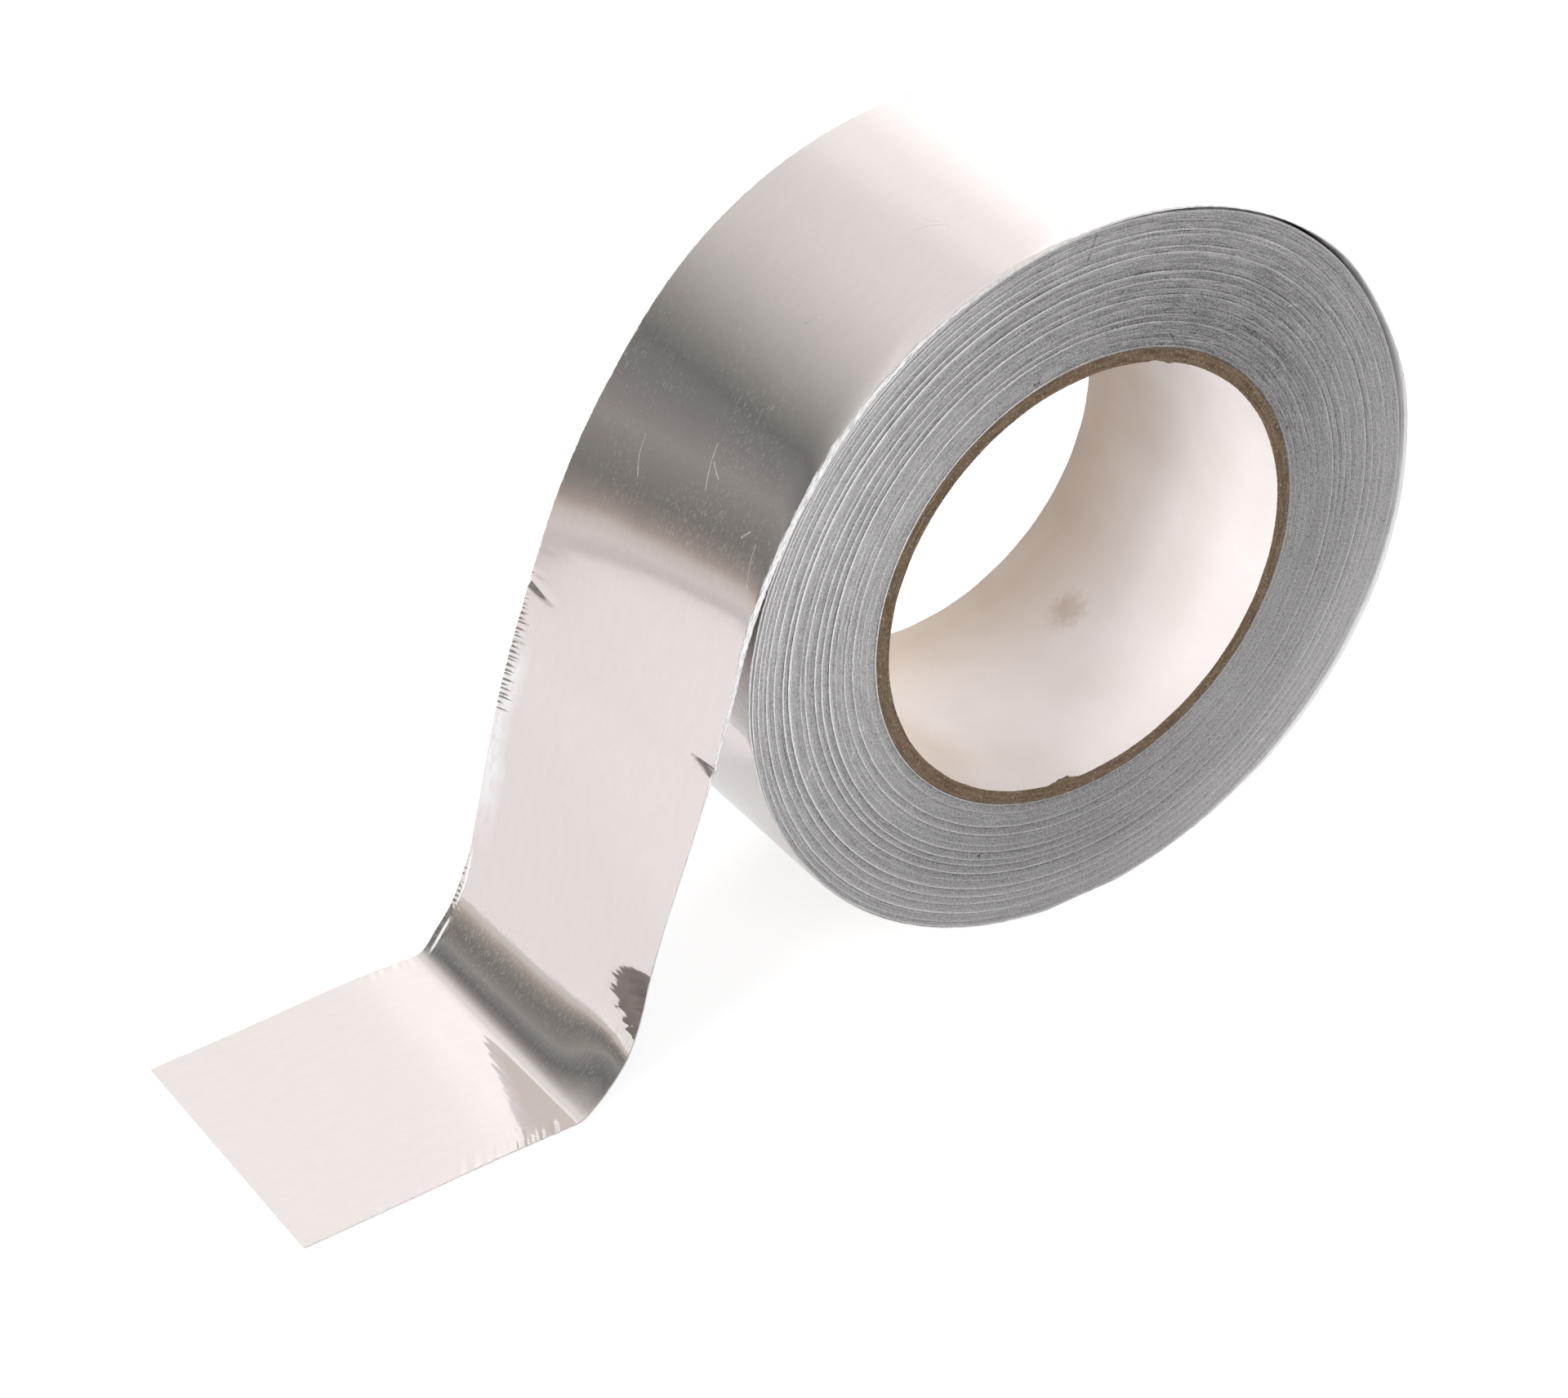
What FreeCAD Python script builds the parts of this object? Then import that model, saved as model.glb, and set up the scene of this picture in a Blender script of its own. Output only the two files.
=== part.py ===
"""Roll of aluminium foil tape standing on its rim, with its free end drawn out onto the table.

Millimetres.  The origin is the centre of the cardboard core's bore.  +Y runs along the roll's
axis, +Z is up, and the free end of the tape leads away towards -X.
Every outline is drawn in the XZ plane and then given the width of the tape along Y.
"""
import FreeCAD, Part
import math
import os

# ---- the roll ----
core_bore_radius = 38.1        # 3 inch core
core_wall = 2.5                # wound paper tube
core_fit = 0.05                # radial room between the core and the innermost turn
tape_width = 50.8              # 2 inch tape
tape_thickness = 0.165         # foil and adhesive
wound_depth = 23.0             # all the turns together, measured along a radius
flat_spot_half_width = 5.0     # where the soft roll rests on the table

# ---- the outermost turn, loose on the side away from the free end ----
loose_start_angle = 55.0       # degrees round the roll, counter-clockwise from +X
loose_end_angle = -52.0
loose_lift = 1.45              # widest gap under it

# ---- the free end, in the order in which it runs down to the table ----
lift_off_angle = 143.0         # where it leaves the roll
lead_radius = 130.0            # it keeps some of the roll's curl at first
lead_turn = 15.0               # degrees of that curl
span_turn = 6.0                # the long span bends on very slightly
knee_radius = 8.0              # soft crease above the table
knee_turn = 24.0
ramp_length = 6.0              # short slope between the two creases
ankle_radius = 4.0             # soft crease where the tape meets the table
flat_length = 49.0             # what lies flat on the table

# ---- worked out from them ----
core_outer_radius = core_bore_radius + core_wall
wound_bore_radius = core_outer_radius + core_fit
under_radius = wound_bore_radius + wound_depth      # the turn that shows below the free end
outer_radius = under_radius + tape_thickness        # the outermost turn
table_depth = math.sqrt(under_radius ** 2 - flat_spot_half_width ** 2)


def polar(radius, degrees):
    """Point at this radius and angle round the roll's axis, or a step that far in that heading."""
    angle = math.radians(degrees)
    return FreeCAD.Vector(radius * math.cos(angle), 0, radius * math.sin(angle))


def line(start, end):
    return Part.LineSegment(start, end).toShape()


def roll_arc(radius, start_angle, end_angle):
    """Arc about the roll's axis."""
    middle = polar(radius, (start_angle + end_angle) / 2)
    return Part.Arc(polar(radius, start_angle), middle, polar(radius, end_angle)).toShape()


class TapePath:
    """Underside of the free end, drawn as a pen that goes forward and turns.

    A stretch is three stops: its start, middle and end, each a point and a heading in degrees.
    The foil side of the tape lies to the right of the heading.
    """

    def __init__(self, point, heading):
        self.point = point
        self.heading = heading
        self.stretches = []

    def go(self, chord, turn=0.0):
        """Go on by this chord while the heading turns evenly by this many degrees."""
        start = (self.point, self.heading)
        half_chord = chord / (2 * math.cos(math.radians(turn / 4)))
        middle = (self.point + polar(half_chord, self.heading + turn / 4), self.heading + turn / 2)
        self.point = self.point + polar(chord, self.heading + turn / 2)
        self.heading += turn
        self.stretches.append((start, middle, (self.point, self.heading)))

    def side(self, offset):
        """Edges of the line that runs this far out from the underside, towards the foil side."""
        edges = []
        for stretch in self.stretches:
            start, middle, end = [point + polar(offset, heading - 90) for point, heading in stretch]
            straight = stretch[0][1] == stretch[2][1]
            edges.append(line(start, end) if straight else Part.Arc(start, middle, end).toShape())
        return edges


def arc_chord(radius, turn):
    """Chord of an arc of this radius that turns by this many degrees."""
    return 2 * radius * math.sin(math.radians(abs(turn) / 2))


def chord_drop(chord, heading, turn=0.0):
    """How far down such a stretch goes."""
    return -chord * math.sin(math.radians(heading + turn / 2))


def free_end_path():
    """The curl, the long span, the two creases and the flat end on the table."""
    path = TapePath(polar(under_radius, lift_off_angle), lift_off_angle + 90)
    path.go(arc_chord(lead_radius, lead_turn), lead_turn)

    knee_heading = path.heading + span_turn
    ramp_heading = knee_heading - knee_turn
    ankle_turn = 180 - ramp_heading
    knee_chord = arc_chord(knee_radius + tape_thickness, knee_turn)
    ankle_chord = arc_chord(ankle_radius + tape_thickness, ankle_turn)

    # The long span reaches down until the lower crease ends on the table.
    creases_drop = chord_drop(knee_chord, knee_heading, -knee_turn)
    creases_drop += chord_drop(ramp_length, ramp_heading)
    creases_drop += chord_drop(ankle_chord, ramp_heading, ankle_turn)
    span_drop = path.point.z + table_depth - creases_drop
    path.go(span_drop / chord_drop(1, path.heading, span_turn), span_turn)

    path.go(knee_chord, -knee_turn)
    path.go(ramp_length)
    path.go(ankle_chord, ankle_turn)
    path.heading = 180.0
    path.go(flat_length)
    return path


def loose_arc(inset):
    """Outermost turn where it has lifted off the roll, this far in from its outer side."""
    radius = outer_radius - inset
    highest = polar(radius + loose_lift, (loose_start_angle + loose_end_angle) / 2)
    start = polar(radius, loose_start_angle)
    end = polar(radius, loose_end_angle)
    return Part.Arc(start, highest, end).toShape()


def tape_outline():
    """Outer edge of the turns and the free end, once round."""
    path = free_end_path()
    underside = path.side(0)
    foil_side = path.side(tape_thickness)
    cut_end = line(underside[-1].Vertexes[-1].Point, foil_side[-1].Vertexes[-1].Point)

    right_angle = -math.degrees(math.asin(table_depth / outer_radius))
    left_angle = 180 + math.degrees(math.asin(table_depth / under_radius))
    flat_spot = line(polar(outer_radius, right_angle), polar(under_radius, left_angle))
    round_the_roll = [
        roll_arc(outer_radius, lift_off_angle, loose_start_angle),
        loose_arc(0),
        roll_arc(outer_radius, loose_end_angle, right_angle),
        flat_spot,
        roll_arc(under_radius, left_angle, lift_off_angle),
    ]
    edges = underside + [cut_end] + foil_side + round_the_roll
    return Part.Wire(Part.__sortEdges__(edges))


def foil_tape():
    """All the turns and the free end, as the one strip that they are."""
    bore = Part.Wire(Part.makeCircle(wound_bore_radius, FreeCAD.Vector(), FreeCAD.Vector(0, 1, 0)))
    under_arc = roll_arc(under_radius, loose_end_angle, loose_start_angle)
    loose_gap = Part.Wire([loose_arc(tape_thickness), under_arc])
    face = Part.makeFace([tape_outline(), bore, loose_gap], "Part::FaceMakerBullseye")
    face.translate(FreeCAD.Vector(0, -tape_width / 2, 0))
    return face.extrude(FreeCAD.Vector(0, tape_width, 0))


def core():
    """Wound paper tube that the tape is rolled on, cut off flush with it."""
    axis = FreeCAD.Vector(0, 1, 0)
    near_end = FreeCAD.Vector(0, -tape_width / 2, 0)
    outside = Part.makeCylinder(core_outer_radius, tape_width, near_end, axis)
    bore = Part.makeCylinder(core_bore_radius, tape_width, near_end, axis)
    return outside.cut(bore)


os.makedirs("parts", exist_ok=True)
for node, shape in (("foil_tape", foil_tape()), ("core", core())):
    shape.exportStep(f"parts/{node}.step")
    print(node, len(shape.Solids), "solid, valid:", shape.isValid(), "volume", round(shape.Volume, 1))
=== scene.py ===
"""Looks for the roll of aluminium foil tape: the wound turns, the outermost turn with its free end,
and the cardboard core. Lengths are millimetres in the CAD's frame, unless a comment says metres."""

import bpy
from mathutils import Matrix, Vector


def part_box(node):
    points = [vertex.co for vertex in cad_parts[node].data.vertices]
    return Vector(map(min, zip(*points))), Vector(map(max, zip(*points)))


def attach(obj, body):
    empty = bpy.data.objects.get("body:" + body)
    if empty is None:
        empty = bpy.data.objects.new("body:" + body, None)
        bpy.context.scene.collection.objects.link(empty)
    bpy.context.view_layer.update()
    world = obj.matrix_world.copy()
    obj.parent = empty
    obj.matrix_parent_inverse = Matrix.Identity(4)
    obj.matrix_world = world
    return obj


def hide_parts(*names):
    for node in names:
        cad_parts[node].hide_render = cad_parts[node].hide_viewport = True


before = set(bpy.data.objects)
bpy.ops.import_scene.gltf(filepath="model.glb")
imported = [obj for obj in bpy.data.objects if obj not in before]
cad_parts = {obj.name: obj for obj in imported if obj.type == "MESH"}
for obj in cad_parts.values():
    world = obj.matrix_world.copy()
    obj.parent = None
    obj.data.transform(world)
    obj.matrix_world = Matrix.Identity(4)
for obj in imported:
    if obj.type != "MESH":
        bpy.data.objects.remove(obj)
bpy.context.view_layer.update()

import math

import bpy
import numpy as np
from mathutils import Euler, Vector

MM = 0.001                    # metres in a millimetre
PER_METRE = 1000              # and the other way round

# ---- sizes, the same as in the CAD
HALF_WIDTH = 25.4
CORE_BORE, CORE_OUTSIDE = 38.1, 40.6    # radii
TURNS_BORE = 40.65            # radius
UNDER_RADIUS = 63.65          # of the turn that shows below the free end
THICKNESS = 0.165
OUTER_RADIUS = UNDER_RADIUS + THICKNESS
TABLE_DEPTH = -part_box("foil_tape")[0].z / MM
LIFT_OFF = 143.0              # degrees round the roll where the free end leaves it
LEAD_RADIUS, LEAD_TURN = 130.0, 15.0
SPAN_TURN = 6.0
KNEE_RADIUS, KNEE_TURN = 8.0, 24.0
RAMP_LENGTH = 6.0
ANKLE_RADIUS = 4.0
FLAT_LENGTH = 49.0

# ---- sizes of the visual model only
TURN_STEP = 0.9               # degrees between two loops of a ring
RESTING = -0.8                # the rim may reach the table where its angle's sine is below this
SIDE_INSET = 0.1              # the wound turns' sides lie this far inside the edges of the tape
CORE_INSET = 0.15             # and the core's ends this far
OVERLAP = 25                  # how far the outermost turn goes on under itself
SHARP_FROM = 48               # degrees between two faces from which their edge is sharp


# ---- small shape helpers
def spline(x, knots):
    """Natural cubic curve through (position, value) knots, level beyond the ends."""
    at, value = np.array(sorted(knots), dtype=float).T
    gap, rise = np.diff(at), np.diff(value)
    system = np.eye(len(at))
    pull = np.zeros(len(at))
    for k in range(1, len(at) - 1):
        system[k, k - 1:k + 2] = gap[k - 1], 2 * (gap[k - 1] + gap[k]), gap[k]
        pull[k] = 6 * (rise[k] / gap[k] - rise[k - 1] / gap[k - 1])
    bend = np.linalg.solve(system, pull)
    x = np.clip(x, at[0], at[-1])
    k = np.clip(np.searchsorted(at, x, side="right") - 1, 0, len(at) - 2)
    a, b, h = at[k + 1] - x, x - at[k], gap[k]
    return ((bend[k] * a ** 3 + bend[k + 1] * b ** 3) / (6 * h)
            + (value[k] / h - bend[k] * h / 6) * a
            + (value[k + 1] / h - bend[k + 1] * h / 6) * b)


def bump(x, centre, half_width):
    """Smooth hump, 1 at its centre and 0 from half_width away."""
    t = np.clip(1 - np.abs(x - centre) / half_width, 0, 1)
    return t * t * (3 - 2 * t)


def angle_bump(angle, centre, half_width):
    """The same round the roll, in degrees."""
    return bump(np.abs((angle - centre + 180) % 360 - 180), 0, half_width)


def heading_step(angle):
    """Step of one millimetre, in x and z, this many degrees round from +X."""
    return np.array([math.cos(math.radians(angle)), math.sin(math.radians(angle))])


def rested(radius, angle, clearance=0.0):
    """The radius, but less where the rim would be below this clearance over the table."""
    height = np.sin(np.radians(angle))
    table = (TABLE_DEPTH - clearance) / np.maximum(1e-6, -height)
    return np.where(height < RESTING, np.minimum(radius, table), radius)


def fold(off, width, inwards, reach):
    """1 on a fold's line, fading over width as a place is off it and over reach inwards."""
    return np.exp(-(off / width) ** 2 - (inwards / reach) ** 2)


def fade(distance, reach, power=2):
    """1 at an edge, fading over reach."""
    return np.exp(-(distance / reach) ** power)


def lip(distance, width, power):
    """1 at an edge, falling to 0 at width."""
    return np.clip(1 - distance / width, 0, 1) ** power


def ripple(x, wavelength, seed):
    """Irregular wave along x, about -1 to 1, whose waves are roughly this long."""
    dice = np.random.default_rng(seed)
    total = np.zeros_like(x, dtype=float)
    for share in (0.55, 0.8, 1.0, 1.35, 1.9):
        length = wavelength * share * dice.uniform(0.9, 1.1)
        total += np.sin(2 * math.pi * (x / length + dice.random()))
    return total / 2.6


def sawtooth(x, wavelength, seed):
    """Irregular slanted wave, -0.5 to 0.5: two thirds of each wave rises and the rest drops."""
    phase = (x / wavelength + 0.25 * ripple(x, 3.1 * wavelength, seed)) % 1.0
    return np.where(phase < 0.66, phase / 0.66, (1 - phase) / 0.34) - 0.5


def steps(*stretches):
    """Positions along stretches, each (start, end, spacing)."""
    parts = [np.linspace(start, end, max(2, int(round(abs(end - start) / gap)) + 1))[:-1]
             for start, end, gap in stretches]
    return np.concatenate(parts + [[stretches[-1][1]]])


# ---- meshes
def loft(name, sections, closed, uv, materials, slots, values):
    """Closed mesh through loops of points: sections is (loops, points in a loop, 3).

    closed joins the last loop to the first; otherwise the ends of a flat loop are filled.
    uv is (loops, points, 2); slots gives the material of the faces that start at each loop point.
    values are named numbers for each point, which the materials read.
    """
    loops, count = sections.shape[:2]
    index = np.arange(loops * count).reshape(loops, count)
    first = index if closed else index[:-1]
    second = np.roll(index, -1, axis=0) if closed else index[1:]
    corners = [first, np.roll(first, -1, axis=1), np.roll(second, -1, axis=1), second]
    faces = np.stack(corners, axis=-1).reshape(-1, 4)
    face_slots = np.tile(np.asarray(slots), len(first))
    if not closed:
        half = count // 2
        j = np.arange(half - 1)
        for row, flip in ((index[0], True), (index[-1], False)):
            cap = np.stack([row[j], row[j + 1], row[count - 2 - j], row[count - 1 - j]], axis=-1)
            faces = np.concatenate([faces, cap[:, ::-1] if flip else cap])
            face_slots = np.concatenate([face_slots, np.zeros(half - 1, int)])
    mesh = bpy.data.meshes.new(name)
    mesh.from_pydata((sections.reshape(-1, 3) * MM).tolist(), [], faces.tolist())
    corner = np.empty(len(mesh.loops), dtype=np.int32)
    mesh.loops.foreach_get("vertex_index", corner)
    layer = mesh.uv_layers.new(name="tape")
    layer.data.foreach_set("uv", uv.reshape(-1, 2)[corner].astype(np.float32).ravel())
    for key, numbers in values.items():
        attribute = mesh.attributes.new(key, "FLOAT", "POINT")
        attribute.data.foreach_set("value", np.asarray(numbers, np.float32).ravel())
    for material in materials:
        mesh.materials.append(material)
    mesh.polygons.foreach_set("material_index", face_slots.astype(np.int32))
    mesh.polygons.foreach_set("use_smooth", np.ones(len(mesh.polygons), dtype=bool))
    mesh.update()
    mesh.set_sharp_from_angle(angle=math.radians(SHARP_FROM))
    return linked(name, mesh)


def linked(name, data):
    """New object in the scene, at the origin."""
    made = bpy.data.objects.new(name, data)
    bpy.context.scene.collection.objects.link(made)
    return made


# ---- materials
MIX_A, MIX_B, MIX_RESULT = 6, 7, 2      # the colour sockets of a mix node


class Nodes:
    """Short way to write a node tree. Values are numbers, vectors or other nodes' outputs."""

    def __init__(self, tree):
        self.tree = tree
        tree.nodes.clear()

    def add(self, kind, inputs=None, **settings):
        node = self.tree.nodes.new(kind)
        for key, value in settings.items():
            setattr(node, key, value)
        for key, value in (inputs or {}).items():
            self.put(node, key, value)
        return node

    def put(self, node, key, value):
        socket = node.inputs[key]
        if isinstance(value, bpy.types.NodeSocket):
            self.tree.links.new(value, socket)
        else:
            socket.default_value = value

    def math(self, operation, first, *others, clamp=False):
        """One operation, or for more than two values the same again on its result and the next."""
        for other in others or (0.0,):
            node = self.add("ShaderNodeMath", operation=operation, use_clamp=clamp,
                            inputs={0: first, 1: other})
            first = node.outputs[0]
        return first

    def plus(self, *values):
        return self.math("ADD", *values)

    def minus(self, first, second):
        return self.math("SUBTRACT", first, second)

    def times(self, *values):
        return self.math("MULTIPLY", *values)

    def most(self, *values):
        return self.math("MAXIMUM", *values)

    def vector(self, operation, first, second=(0, 0, 0)):
        node = self.add("ShaderNodeVectorMath", operation=operation, inputs={0: first, 1: second})
        single = operation in ("LENGTH", "DOT_PRODUCT")
        return node.outputs["Value" if single else "Vector"]

    def split(self, vector):
        return tuple(self.add("ShaderNodeSeparateXYZ", {"Vector": vector}).outputs)

    def join(self, x, y, z=0.0):
        return self.add("ShaderNodeCombineXYZ", {"X": x, "Y": y, "Z": z}).outputs["Vector"]

    def noise(self, vector, waves, detail=2.0, roughness=0.5):
        """Soft noise with this many waves in a unit of length, in each direction or in all."""
        if isinstance(waves, tuple):
            vector, waves = self.vector("MULTIPLY", vector, waves), 1.0
        return self.add("ShaderNodeTexNoise", {"Vector": vector, "Scale": waves, "Detail": detail,
                                               "Roughness": roughness}).outputs["Fac"]

    def range(self, value, low, high, to_low=0.0, to_high=1.0, smooth=False):
        """value moved from low..high to to_low..to_high, and kept inside it."""
        node = self.add("ShaderNodeMapRange", clamp=True,
                        interpolation_type="SMOOTHSTEP" if smooth else "LINEAR",
                        inputs={"Value": value, "From Min": low, "From Max": high,
                                "To Min": to_low, "To Max": to_high})
        return node.outputs["Result"]

    def band(self, value, start, full, until, end, smooth=False):
        """0 up to start, 1 from full until until, and 0 again from end."""
        return self.times(self.range(value, start, full, smooth=smooth),
                          self.range(value, end, until, smooth=smooth))

    def mix(self, factor, a, b):
        node = self.add("ShaderNodeMix", {"Factor": factor}, data_type="RGBA")
        for key, colour in ((MIX_A, a), (MIX_B, b)):
            self.put(node, key, (*colour, 1) if isinstance(colour, tuple) else colour)
        return node.outputs[MIX_RESULT]

    def colour(self, red, green, blue):
        channels = {"Red": red, "Green": green, "Blue": blue}
        return self.add("ShaderNodeCombineColor", channels).outputs[0]

    def bump(self, height, distance, strength, under=None):
        """Normal with a relief this high, in metres, over another relief where one is given."""
        inputs = {"Height": height, "Distance": distance, "Strength": strength}
        if under is not None:
            inputs["Normal"] = under
        return self.add("ShaderNodeBump", inputs).outputs["Normal"]


def new_material(name, display):
    """Material with a principled shader; display is its plain colour in a viewport."""
    material = bpy.data.materials.new(name)
    material.use_nodes = True
    material.diffuse_color = (*display, 1)
    nodes = Nodes(material.node_tree)
    shader = nodes.add("ShaderNodeBsdfPrincipled")
    nodes.add("ShaderNodeOutputMaterial", {"Surface": shader.outputs["BSDF"]})
    return material, nodes, shader


def tape_place(n):
    """Place on the tape: millimetres along from the lift-off and across from the middle."""
    return n.add("ShaderNodeUVMap", uv_map="tape").outputs["UV"]


def stroke(n, place, start, end, width, bow):
    """Mask of one thin scratch between two places, which bows out by this much halfway."""
    start, end = np.array(start, dtype=float), np.array(end, dtype=float)
    length = float(np.linalg.norm(end - start))
    way_x, way_y = (float(share) for share in (end - start) / length)
    x, y, _ = n.split(n.vector("SUBTRACT", place, (*start, 0)))
    forward = n.plus(n.times(x, way_x), n.times(y, way_y))
    aside = n.plus(n.times(x, -way_y), n.times(y, way_x))
    t = n.math("DIVIDE", forward, length)
    bowed = n.times(n.times(t, n.minus(1.0, t)), 4 * bow)
    off = n.math("ABSOLUTE", n.minus(aside, bowed))
    return n.times(n.range(off, width, width * 0.3), n.band(t, 0.0, 0.1, 0.9, 1.0))


# Scratches on the foil: the place of each end, half width, and bow.
SCRATCHES = (((-44.5, -10), (-39, -5.5), 0.12, 0.9), ((-44, -7.5), (-42.5, -4.5), 0.09, -0.3),
             ((-47, -9.5), (-46, -8.3), 0.08, 0.1), ((10, 12), (17, 9.5), 0.10, 0.7),
             ((4, -3), (12, -5.5), 0.12, 0.4), ((7, -4), (9, -7), 0.09, 0.2),
             ((-20, -6), (-18, -4.5), 0.12, 0.0), ((13, -20), (20, -22), 0.10, 0.4),
             ((12, -18), (14, -16.5), 0.10, 0.1))


def foil_material():
    """Bright rolled foil: a mirror with rolling lines, scratches, specks, rubbed edges and painted
    highlights.
    """
    material, n, shader = new_material("foil_bright", (0.9, 0.85, 0.82))
    uv = tape_place(n)
    along, across, _ = n.split(uv)
    from_near = n.plus(across, HALF_WIDTH)
    from_far = n.minus(HALF_WIDTH, across)
    lines = n.noise(uv, (0.12, 5.0, 0.0), 3.0)
    fibres = n.noise(uv, (0.45, 9.0, 0.0), 2.0, 0.6)
    shreds = n.noise(uv, (0.22, 3.0, 0.0), 4.0, 0.7)
    mottle = n.noise(uv, (0.25, 0.6, 0.0), 4.0, 0.6)
    smear = n.noise(uv, (0.04, 0.11, 0.0), 3.0)
    worn = n.noise(uv, (0.05, 0.06, 0.0), 2.0)

    # short dashes at two slants, where the tape has been handled
    slanted = []
    for degrees in (-17, 8):
        turned = n.add("ShaderNodeVectorRotate", {"Vector": uv, "Angle": math.radians(degrees)},
                       rotation_type="Z_AXIS").outputs[0]
        slanted.append(n.noise(turned, (0.7, 10.0, 0.0), 0.0))
    handled = n.most(n.band(along, -45, -12, 16, 30), n.band(along, 96, 102, 110, 114))
    dashes = n.times(n.range(n.most(*slanted), 0.74, 0.80),
                     n.times(n.range(worn, 0.35, 0.65, 0.04, 0.24), handled))

    # shreds along both edges, rubbed most where the free end leaves the roll; they are rougher, and
    # their white colour is partly a painted highlight
    rubbed = n.times(n.range(along, -45, -6, 0.3, 1.0), n.range(along, 60, 25, 0.15, 1.0))
    near_width = n.times(rubbed, n.range(shreds, 0.3, 0.7, 0.45, 1.35))
    near_lip = n.range(n.minus(near_width, from_near), 0.0, 0.15)
    far_width = n.range(shreds, 0.45, 0.7, 0.0, 0.3)
    unfolded = n.most(n.range(along, 89, 86), n.range(along, 113, 115))
    far_lip = n.times(n.range(n.minus(far_width, from_far), 0.0, 0.08), unfolded)
    rubs_and_highlight = n.most(near_lip, far_lip)

    # painted highlight: a white line where the far edge is folded over, beside each crease
    wander = n.noise(uv, (0.2, 0.0, 0.0), 0.0)
    inwards = n.times(n.range(wander, 0.3, 0.7, 1.15, 1.45), n.range(along, 91.5, 98, 0.35, 1.0))
    folded = n.most(n.band(along, 92, 94, 101.5, 103), n.band(along, 104.5, 106, 111, 112.5))
    off_line = n.math("ABSOLUTE", n.minus(from_far, inwards))
    painted_fold_highlight = n.times(n.range(off_line, 0.34, 0.18), folded)

    # painted highlight as a paler strip along the far edge of the span, and dark specks on the free
    # end
    strip = n.range(n.plus(from_far, n.range(worn, 0.3, 0.7, -1.5, 1.5)), 5.5, 2.0)
    strip = n.times(strip, n.band(along, 50, 62, 78, 92))
    cells = n.add("ShaderNodeTexVoronoi",
                  {"Vector": n.vector("MULTIPLY", uv, (0.1, 0.1, 0.0)), "Scale": 1.0})
    draw = n.add("ShaderNodeSeparateColor", {"Color": cells.outputs["Color"]}).outputs[0]
    specks = n.times(n.range(cells.outputs["Distance"], 0.026, 0.014),
                     n.math("GREATER_THAN", draw, 0.72), n.range(along, 28, 34))

    scratches = n.times(n.most(*(stroke(n, uv, *scratch) for scratch in SCRATCHES)), 0.9)
    marks = n.most(dashes, scratches, rubs_and_highlight, specks, painted_fold_highlight)
    clean = n.mix(n.range(mottle, 0.3, 0.7), (0.752, 0.692, 0.670), (0.772, 0.712, 0.690))
    # the paler strip is a painted highlight
    clean = n.mix(n.times(strip, n.range(mottle, 0.35, 0.6, 0.4, 1.0)), clean, (0.93, 0.90, 0.92))
    clean = n.mix(specks, clean, (0.16, 0.14, 0.13))
    # rubbed edges: streaked pale colour, less metallic, partly a painted highlight
    streaks = n.mix(n.range(fibres, 0.36, 0.52), (0.36, 0.36, 0.37), (0.95, 0.945, 0.94))
    # the white of the fold lines is a painted highlight
    colour = n.mix(painted_fold_highlight, n.mix(rubs_and_highlight, clean, streaks), (0.97, 0.965, 0.96))
    n.put(shader, "Base Color", colour)
    n.put(shader, "Metallic", n.range(n.most(rubs_and_highlight, painted_fold_highlight), 0.0, 1.0, 1.0, 0.25))
    rough = n.plus(n.range(lines, 0.3, 0.7, 0.02, 0.045), n.range(smear, 0.4, 0.75, 0.0, 0.06))
    n.put(shader, "Roughness", n.plus(rough, n.times(marks, 0.36)))
    soft = n.bump(n.noise(uv, (0.05, 0.07, 0.0), 1.0), 0.0010, 0.05)
    fine = n.bump(lines, 0.00001, 0.08, soft)
    n.put(shader, "Normal", n.bump(n.plus(marks, n.times(fibres, near_lip)), 0.00006, 0.6, fine))
    return material


def adhesive_material():
    """Sticky side: the foil's back under a clear, slightly milky coat."""
    material, n, shader = new_material("foil_adhesive", (0.75, 0.74, 0.72))
    uv = tape_place(n)
    streaks = n.noise(uv, (0.12, 1.2, 0.0), 4.0)
    specks = n.noise(uv, (1.5, 1.5, 0.0), 3.0)
    colour = n.mix(n.range(streaks, 0.3, 0.7), (0.80, 0.795, 0.80), (0.89, 0.885, 0.89))
    n.put(shader, "Base Color", colour)
    n.put(shader, "Roughness", n.range(streaks, 0.3, 0.7, 0.24, 0.36))
    shader.inputs["Metallic"].default_value = 0.4
    n.put(shader, "Normal", n.bump(specks, 0.00005, 0.25, n.bump(streaks, 0.0001, 0.3)))
    return material


def round_the_axis(n):
    """Place in metres, direction from the roll's axis, radius in millimetres, and a vector that
    changes slowly round the roll and fast along a radius."""
    place = n.add("ShaderNodeTexCoord").outputs["Object"]
    flat = n.vector("MULTIPLY", place, (PER_METRE, 0, PER_METRE))
    radius = n.vector("LENGTH", flat)
    outwards = n.vector("NORMALIZE", flat)
    x, _, z = n.split(outwards)
    return place, outwards, radius, n.join(x, radius, z)


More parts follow.
